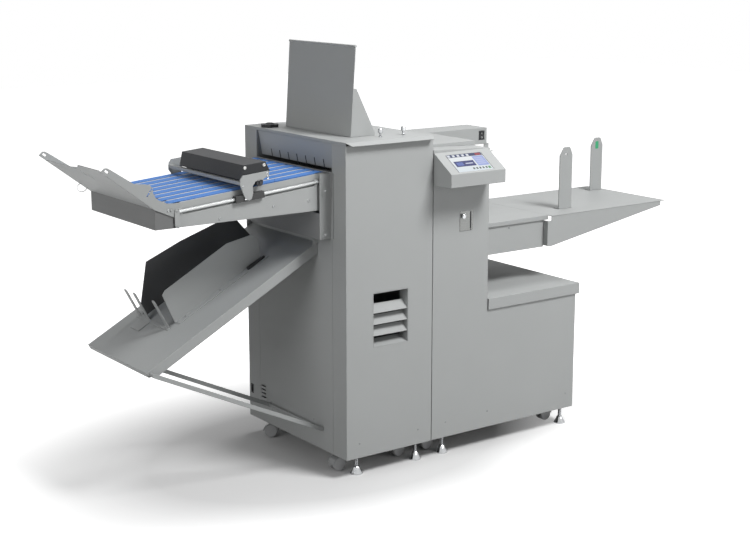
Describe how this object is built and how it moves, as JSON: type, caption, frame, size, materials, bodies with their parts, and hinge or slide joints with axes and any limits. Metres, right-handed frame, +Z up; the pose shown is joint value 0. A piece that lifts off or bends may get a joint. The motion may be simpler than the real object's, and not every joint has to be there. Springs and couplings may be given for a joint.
{
  "type": "scoring and perforating machine",
  "caption": "Floor-standing scoring, perforating and folding machine with a belt delivery, a sloping drop tray, a pile feeder and a touch screen.",
  "frame": {"origin": "on the floor, under the middle of the bounding box", "axes": "+X towards the pile feeder, +Y to the rear, +Z up"},
  "size_m": [2.4134, 0.732, 1.4423],
  "materials": {
    "panel_grey": "fine textured powder coat",
    "tray_grey": "fine textured powder coat",
    "dark_paint": "satin dark paint",
    "black_plastic": "moulded, fine grain",
    "belt_blue": "woven belt, matte",
    "frame_steel": "plated",
    "bright_steel": "polished",
    "roller_rubber": "ground rubber",
    "castor_grey": "moulded",
    "screen_glass": "glossy"
  },
  "bodies": {
    "machine": {"belt_bed": "belt_blue", "console": "panel_grey", "control_box": "panel_grey", "conveyor_end_cap": "dark_paint", "conveyor_frame": "panel_grey", "delivery_hood": "dark_paint", "feed_head_cover": "panel_grey", "feeder_chassis": "frame_steel", "feeder_front_cover": "panel_grey", "front_cover": "panel_grey", "left_panel": "panel_grey", "louvre_insert": "panel_grey", "main_chassis": "frame_steel", "rear_cover": "panel_grey", "shelf_cover": "panel_grey", "slotted_guard": "panel_grey", "touch_screen": "screen_glass"},
    "bridge": {"bridge_cover": "black_plastic", "bridge_frame": "panel_grey"},
    "catch_tray": {"catch_tray": "tray_grey"},
    "crease_blade": {"crease_blade": "bright_steel"},
    "drive_roller": {"drive_roller": "bright_steel"},
    "drop_tray": {"drop_tray": "tray_grey"},
    "feed_drum": {"feed_drum": "roller_rubber"},
    "feeder_castor_front_left_wheel": {"feeder_castor_front_left_wheel": "castor_grey"},
    "feeder_castor_front_left_yoke": {"feeder_castor_front_left_yoke": "castor_grey"},
    "feeder_castor_front_right_wheel": {"feeder_castor_front_right_wheel": "castor_grey"},
    "feeder_castor_front_right_yoke": {"feeder_castor_front_right_yoke": "castor_grey"},
    "feeder_castor_rear_left_wheel": {"feeder_castor_rear_left_wheel": "castor_grey"},
    "feeder_castor_rear_left_yoke": {"feeder_castor_rear_left_yoke": "castor_grey"},
    "feeder_castor_rear_right_wheel": {"feeder_castor_rear_right_wheel": "castor_grey"},
    "feeder_castor_rear_right_yoke": {"feeder_castor_rear_right_yoke": "castor_grey"},
    "finger_stop": {"finger_stop": "tray_grey"},
    "fold_roller_lower": {"fold_roller_lower": "bright_steel"},
    "fold_roller_upper": {"fold_roller_upper": "bright_steel"},
    "idler_roller": {"idler_roller": "bright_steel"},
    "latch_knob": {"latch_knob": "bright_steel"},
    "lid": {"fold_plate": "panel_grey", "top_lid": "panel_grey"},
    "lid_knob": {"lid_knob": "black_plastic"},
    "lock_lever": {"lock_lever": "black_plastic"},
    "main_castor_front_left_wheel": {"main_castor_front_left_wheel": "castor_grey"},
    "main_castor_front_left_yoke": {"main_castor_front_left_yoke": "castor_grey"},
    "main_castor_front_right_wheel": {"main_castor_front_right_wheel": "castor_grey"},
    "main_castor_front_right_yoke": {"main_castor_front_right_yoke": "castor_grey"},
    "main_castor_rear_left_wheel": {"main_castor_rear_left_wheel": "castor_grey"},
    "main_castor_rear_left_yoke": {"main_castor_rear_left_yoke": "castor_grey"},
    "main_castor_rear_right_wheel": {"main_castor_rear_right_wheel": "castor_grey"},
    "main_castor_rear_right_yoke": {"main_castor_rear_right_yoke": "castor_grey"},
    "press_roller": {"press_roller": "roller_rubber"},
    "rocker_switch": {"rocker_switch": "black_plastic"},
    "side_guide_far": {"side_guide_far": "tray_grey"},
    "side_guide_near": {"side_guide_near": "tray_grey"},
    "strut": {"strut": "tray_grey"},
    "table": {"feed_table": "panel_grey", "table_extension": "panel_grey"},
    "thumb_knob_left": {"thumb_knob_left": "bright_steel"},
    "thumb_knob_right": {"thumb_knob_right": "bright_steel"},
    "tray_guide_front": {"tray_guide_front": "tray_grey"},
    "tray_guide_rear": {"tray_guide_rear": "dark_paint"}
  },
  "joints": [
    {"name": "lid_hinge", "type": "hinge", "parent": "machine", "child": "lid", "pos_m": [-0.3873, 0.361, 1.136], "axis": [-1, 0, 0], "range_deg": [0, 75]},
    {"name": "lid_knob_turn", "type": "hinge", "parent": "lid", "child": "lid_knob", "pos_m": [-0.3493, 0.249, 1.141], "axis": [0, 0, 1], "continuous": true},
    {"name": "thumb_knob_left_turn", "type": "hinge", "parent": "lid", "child": "thumb_knob_left", "pos_m": [-0.2013, -0.205, 1.141], "axis": [0, 0, 1], "continuous": true},
    {"name": "thumb_knob_right_turn", "type": "hinge", "parent": "lid", "child": "thumb_knob_right", "pos_m": [-0.1053, -0.203, 1.141], "axis": [0, 0, 1], "continuous": true},
    {"name": "fold_roller_upper_turn", "type": "hinge", "parent": "machine", "child": "fold_roller_upper", "pos_m": [-0.2073, 0.042, 1.06215], "axis": [0, 1, 0], "continuous": true},
    {"name": "fold_roller_lower_turn", "type": "hinge", "parent": "machine", "child": "fold_roller_lower", "pos_m": [-0.2073, 0.042, 1.01785], "axis": [0, 1, 0], "continuous": true},
    {"name": "crease_blade_slide", "type": "slide", "parent": "machine", "child": "crease_blade", "axis": [0, 0, -1], "range_m": [0, 0.006]},
    {"name": "drive_roller_turn", "type": "hinge", "parent": "machine", "child": "drive_roller", "pos_m": [-0.41148, 0.042, 1.02072], "axis": [0, 1, 0], "continuous": true},
    {"name": "idler_roller_turn", "type": "hinge", "parent": "machine", "child": "idler_roller", "pos_m": [-0.95779, 0.042, 0.97292], "axis": [0, 1, 0], "continuous": true},
    {"name": "bridge_slide", "type": "slide", "parent": "machine", "child": "bridge", "axis": [-0.9962, 0, -0.0872], "range_m": [-0.19, 0.18]},
    {"name": "press_roller_turn", "type": "hinge", "parent": "bridge", "child": "press_roller", "pos_m": [-0.65946, 0.042, 1.02923], "axis": [0, 1, 0], "continuous": true},
    {"name": "catch_tray_hinge", "type": "hinge", "parent": "machine", "child": "catch_tray", "pos_m": [-0.97332, 0.042, 0.972], "axis": [0, 1, 0], "range_deg": [0, 60]},
    {"name": "drop_tray_hinge", "type": "hinge", "parent": "machine", "child": "drop_tray", "pos_m": [-0.3973, 0.042, 0.798], "axis": [0, 1, 0], "range_deg": [0, 15]},
    {"name": "tray_guide_rear_slide", "type": "slide", "parent": "drop_tray", "child": "tray_guide_rear", "axis": [0, 1, 0], "range_m": [-0.15, 0.055]},
    {"name": "tray_guide_front_slide", "type": "slide", "parent": "drop_tray", "child": "tray_guide_front", "axis": [0, 1, 0], "range_m": [-0.12, 0.15]},
    {"name": "lock_lever_hinge", "type": "hinge", "parent": "tray_guide_front", "child": "lock_lever", "pos_m": [-0.56849, 0.038, 0.69993], "axis": [-0.4695, 0, 0.8829], "range_deg": [-60, 0]},
    {"name": "finger_stop_slide", "type": "slide", "parent": "drop_tray", "child": "finger_stop", "axis": [-0.8829, 0, -0.4695], "range_m": [0, 0.12]},
    {"name": "strut_hinge", "type": "hinge", "parent": "drop_tray", "child": "strut", "pos_m": [-1.02165, 0.042, 0.44245], "axis": [0, 1, 0], "range_deg": [0, 12]},
    {"name": "table_lift", "type": "slide", "parent": "machine", "child": "table", "axis": [0, 0, 1], "range_m": [-0.11, 0.1]},
    {"name": "side_guide_near_slide", "type": "slide", "parent": "table", "child": "side_guide_near", "axis": [0, 1, 0], "range_m": [-0.08, 0.2]},
    {"name": "side_guide_far_slide", "type": "slide", "parent": "table", "child": "side_guide_far", "axis": [0, 1, 0], "range_m": [-0.2, 0.06]},
    {"name": "rocker_hinge", "type": "hinge", "parent": "machine", "child": "rocker_switch", "pos_m": [0.4992, 0.114, 1.064], "axis": [1, 0, 0], "range_deg": [-8, 8]},
    {"name": "latch_knob_turn", "type": "hinge", "parent": "machine", "child": "latch_knob", "pos_m": [0.0987, -0.2733, 0.853], "axis": [0, 1, 0], "continuous": true},
    {"name": "feed_drum_turn", "type": "hinge", "parent": "machine", "child": "feed_drum", "pos_m": [0.1607, 0.042, 0.955], "axis": [0, 1, 0], "continuous": true},
    {"name": "feeder_castor_front_left_swivel", "type": "hinge", "parent": "machine", "child": "feeder_castor_front_left_yoke", "pos_m": [0.0427, -0.169, 0.026], "axis": [0, 0, 1], "continuous": true},
    {"name": "feeder_castor_front_left_roll", "type": "hinge", "parent": "feeder_castor_front_left_yoke", "child": "feeder_castor_front_left_wheel", "pos_m": [0.0217, -0.169, 0.026], "axis": [0, 1, 0], "continuous": true},
    {"name": "feeder_castor_front_right_swivel", "type": "hinge", "parent": "machine", "child": "feeder_castor_front_right_yoke", "pos_m": [0.6127, -0.169, 0.026], "axis": [0, 0, 1], "continuous": true},
    {"name": "feeder_castor_front_right_roll", "type": "hinge", "parent": "feeder_castor_front_right_yoke", "child": "feeder_castor_front_right_wheel", "pos_m": [0.5917, -0.169, 0.026], "axis": [0, 1, 0], "continuous": true},
    {"name": "feeder_castor_rear_left_swivel", "type": "hinge", "parent": "machine", "child": "feeder_castor_rear_left_yoke", "pos_m": [0.0427, 0.253, 0.026], "axis": [0, 0, 1], "continuous": true},
    {"name": "feeder_castor_rear_left_roll", "type": "hinge", "parent": "feeder_castor_rear_left_yoke", "child": "feeder_castor_rear_left_wheel", "pos_m": [0.02661, 0.2665, 0.026], "axis": [0.6428, 0.766, 0], "continuous": true},
    {"name": "feeder_castor_rear_right_swivel", "type": "hinge", "parent": "machine", "child": "feeder_castor_rear_right_yoke", "pos_m": [0.6127, 0.253, 0.026], "axis": [0, 0, 1], "continuous": true},
    {"name": "feeder_castor_rear_right_roll", "type": "hinge", "parent": "feeder_castor_rear_right_yoke", "child": "feeder_castor_rear_right_wheel", "pos_m": [0.59452, 0.2425, 0.026], "axis": [-0.5, 0.866, 0], "continuous": true},
    {"name": "main_castor_front_left_swivel", "type": "hinge", "parent": "machine", "child": "main_castor_front_left_yoke", "pos_m": [-0.3353, -0.169, 0.026], "axis": [0, 0, 1], "continuous": true},
    {"name": "main_castor_front_left_roll", "type": "hinge", "parent": "main_castor_front_left_yoke", "child": "main_castor_front_left_wheel", "pos_m": [-0.3563, -0.169, 0.026], "axis": [0, 1, 0], "continuous": true},
    {"name": "main_castor_front_right_swivel", "type": "hinge", "parent": "machine", "child": "main_castor_front_right_yoke", "pos_m": [-0.0823, -0.169, 0.026], "axis": [0, 0, 1], "continuous": true},
    {"name": "main_castor_front_right_roll", "type": "hinge", "parent": "main_castor_front_right_yoke", "child": "main_castor_front_right_wheel", "pos_m": [-0.1033, -0.169, 0.026], "axis": [0, 1, 0], "continuous": true},
    {"name": "main_castor_rear_left_swivel", "type": "hinge", "parent": "machine", "child": "main_castor_rear_left_yoke", "pos_m": [-0.3353, 0.253, 0.026], "axis": [0, 0, 1], "continuous": true},
    {"name": "main_castor_rear_left_roll", "type": "hinge", "parent": "main_castor_rear_left_yoke", "child": "main_castor_rear_left_wheel", "pos_m": [-0.35139, 0.2665, 0.026], "axis": [0.6428, 0.766, 0], "continuous": true},
    {"name": "main_castor_rear_right_swivel", "type": "hinge", "parent": "machine", "child": "main_castor_rear_right_yoke", "pos_m": [-0.0823, 0.253, 0.026], "axis": [0, 0, 1], "continuous": true},
    {"name": "main_castor_rear_right_roll", "type": "hinge", "parent": "main_castor_rear_right_yoke", "child": "main_castor_rear_right_wheel", "pos_m": [-0.10048, 0.2425, 0.026], "axis": [-0.5, 0.866, 0], "continuous": true}
  ],
  "couplings": [
    {"joint": "fold_roller_lower_turn", "follows": "fold_roller_upper_turn", "ratio": -1},
    {"joint": "idler_roller_turn", "follows": "drive_roller_turn", "ratio": 1}
  ]
}
